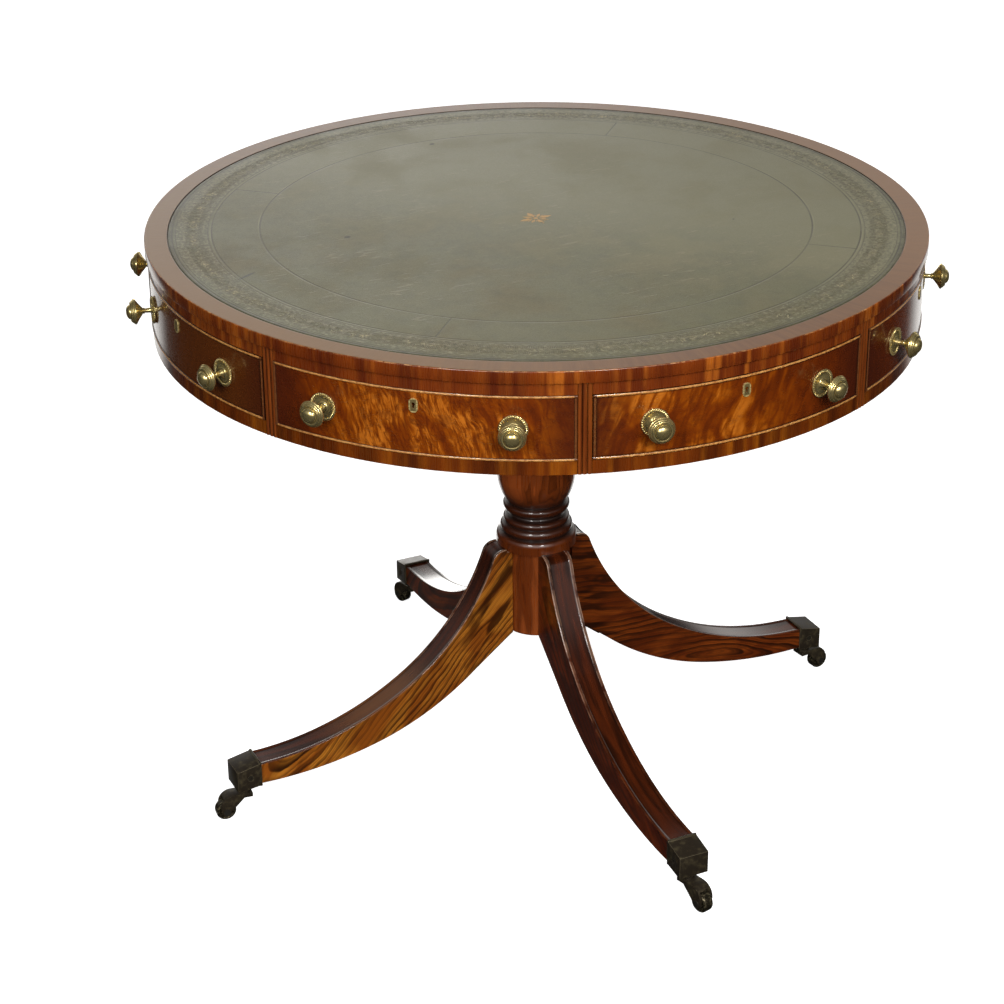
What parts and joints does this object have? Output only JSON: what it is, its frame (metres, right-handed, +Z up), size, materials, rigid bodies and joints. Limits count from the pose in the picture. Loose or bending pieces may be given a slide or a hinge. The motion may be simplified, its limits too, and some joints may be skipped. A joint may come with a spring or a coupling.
{
  "type": "drum table",
  "caption": "Round revolving drum table with a leather writing top, real and dummy frieze drawers with knobs, a turned pillar and splayed sabre legs on casters.",
  "frame": {"origin": "on the floor under the middle of the pillar", "axes": "+Z up; the real drawers face +X, +Y, -X and -Y"},
  "size_m": [1.0166, 1.0166, 0.766],
  "materials": {
    "green_leather": "worn satin, gilt tooling",
    "mahogany_banding": "polished crossbanding",
    "mahogany_frieze": "polished",
    "mahogany_flame": "polished, flame figure",
    "cock_bead": "polished",
    "mahogany_turned": "polished",
    "mahogany_leg": "polished, dark moulded top",
    "secondary_wood": "planed oak and pine",
    "brass": "aged polish",
    "dark_bronze": "patinated",
    "steel": "turned",
    "iron": "forged"
  },
  "bodies": {
    "base": {"column": "mahogany_turned", "pivot_spindle": "steel", "spindle_nut": "steel", "brace_plate": "iron", "base_screws": "steel", "leg_right": "mahogany_leg", "caster_socket_right": "dark_bronze", "leg_back": "mahogany_leg", "caster_socket_back": "dark_bronze", "leg_left": "mahogany_leg", "caster_socket_left": "dark_bronze", "leg_front": "mahogany_leg", "caster_socket_front": "dark_bronze"},
    "drum": {"top_board": "secondary_wood", "rim_banding": "mahogany_banding", "leather_skiver": "green_leather", "upper_rails": "mahogany_frieze", "lower_rails": "mahogany_frieze", "pilasters": "mahogany_frieze", "drum_floor": "secondary_wood", "hub_block": "secondary_wood", "hub_bush": "brass", "drawer_guides": "secondary_wood", "drawer_kickers": "secondary_wood", "dummy_fronts": "mahogany_flame", "dummy_beads": "cock_bead", "dummy_knobs": "brass", "dummy_escutcheons": "brass"},
    "drawer_right": {"drawer_front_right": "mahogany_flame", "drawer_box_right": "secondary_wood", "drawer_knobs_right": "brass", "drawer_lock_right": "brass"},
    "bolt_right": {"lock_bolt_right": "steel"},
    "caster_right": {"caster_fork_right": "dark_bronze", "caster_axle_right": "dark_bronze"},
    "wheel_right": {"caster_wheel_right": "dark_bronze"},
    "drawer_back": {"drawer_front_back": "mahogany_flame", "drawer_box_back": "secondary_wood", "drawer_knobs_back": "brass", "drawer_lock_back": "brass"},
    "bolt_back": {"lock_bolt_back": "steel"},
    "caster_back": {"caster_fork_back": "dark_bronze", "caster_axle_back": "dark_bronze"},
    "wheel_back": {"caster_wheel_back": "dark_bronze"},
    "drawer_left": {"drawer_front_left": "mahogany_flame", "drawer_box_left": "secondary_wood", "drawer_knobs_left": "brass", "drawer_lock_left": "brass"},
    "bolt_left": {"lock_bolt_left": "steel"},
    "caster_left": {"caster_fork_left": "dark_bronze", "caster_axle_left": "dark_bronze"},
    "wheel_left": {"caster_wheel_left": "dark_bronze"},
    "drawer_front": {"drawer_front_front": "mahogany_flame", "drawer_box_front": "secondary_wood", "drawer_knobs_front": "brass", "drawer_lock_front": "brass"},
    "bolt_front": {"lock_bolt_front": "steel"},
    "caster_front": {"caster_fork_front": "dark_bronze", "caster_axle_front": "dark_bronze"},
    "wheel_front": {"caster_wheel_front": "dark_bronze"}
  },
  "joints": [
    {"name": "drum_revolve", "type": "hinge", "parent": "base", "child": "drum", "pos_m": [0, 0, 0.7347], "axis": [0, 0, 1], "continuous": true},
    {"name": "drawer_slide_right", "type": "slide", "parent": "drum", "child": "drawer_right", "axis": [1, 0, 0], "range_m": [0, 0.2]},
    {"name": "lock_bolt_right", "type": "slide", "parent": "drawer_right", "child": "bolt_right", "axis": [0, 0, 1], "range_m": [0, 0.006]},
    {"name": "caster_swivel_right", "type": "hinge", "parent": "base", "child": "caster_right", "pos_m": [0.42946, -0.0216, 0.041], "axis": [0, 0, 1], "continuous": true},
    {"name": "wheel_roll_right", "type": "hinge", "parent": "caster_right", "child": "wheel_right", "pos_m": [0.45639, -0.01966, 0.0135], "axis": [-0.0718, 0.9974, 0], "continuous": true},
    {"name": "drawer_slide_back", "type": "slide", "parent": "drum", "child": "drawer_back", "axis": [0, 1, 0], "range_m": [0, 0.2]},
    {"name": "lock_bolt_back", "type": "slide", "parent": "drawer_back", "child": "bolt_back", "axis": [0, 0, 1], "range_m": [0, 0.006]},
    {"name": "caster_swivel_back", "type": "hinge", "parent": "base", "child": "caster_back", "pos_m": [0.0216, 0.42946, 0.041], "axis": [0, 0, 1], "continuous": true},
    {"name": "wheel_roll_back", "type": "hinge", "parent": "caster_back", "child": "wheel_back", "pos_m": [0.0164, 0.45595, 0.0135], "axis": [-0.9812, -0.1929, 0], "continuous": true},
    {"name": "drawer_slide_left", "type": "slide", "parent": "drum", "child": "drawer_left", "axis": [-1, 0, 0], "range_m": [0, 0.2]},
    {"name": "lock_bolt_left", "type": "slide", "parent": "drawer_left", "child": "bolt_left", "axis": [0, 0, 1], "range_m": [0, 0.006]},
    {"name": "caster_swivel_left", "type": "hinge", "parent": "base", "child": "caster_left", "pos_m": [-0.42946, 0.0216, 0.041], "axis": [0, 0, 1], "continuous": true},
    {"name": "wheel_roll_left", "type": "hinge", "parent": "caster_left", "child": "wheel_left", "pos_m": [-0.45613, 0.02577, 0.0135], "axis": [-0.1544, -0.988, 0], "continuous": true},
    {"name": "drawer_slide_front", "type": "slide", "parent": "drum", "child": "drawer_front", "axis": [0, -1, 0], "range_m": [0, 0.2]},
    {"name": "lock_bolt_front", "type": "slide", "parent": "drawer_front", "child": "bolt_front", "axis": [0, 0, 1], "range_m": [0, 0.006]},
    {"name": "caster_swivel_front", "type": "hinge", "parent": "base", "child": "caster_front", "pos_m": [-0.0216, -0.42946, 0.041], "axis": [0, 0, 1], "continuous": true},
    {"name": "wheel_roll_front", "type": "hinge", "parent": "caster_front", "child": "wheel_front", "pos_m": [-0.0164, -0.45595, 0.0135], "axis": [0.9812, 0.1929, 0], "continuous": true}
  ]
}
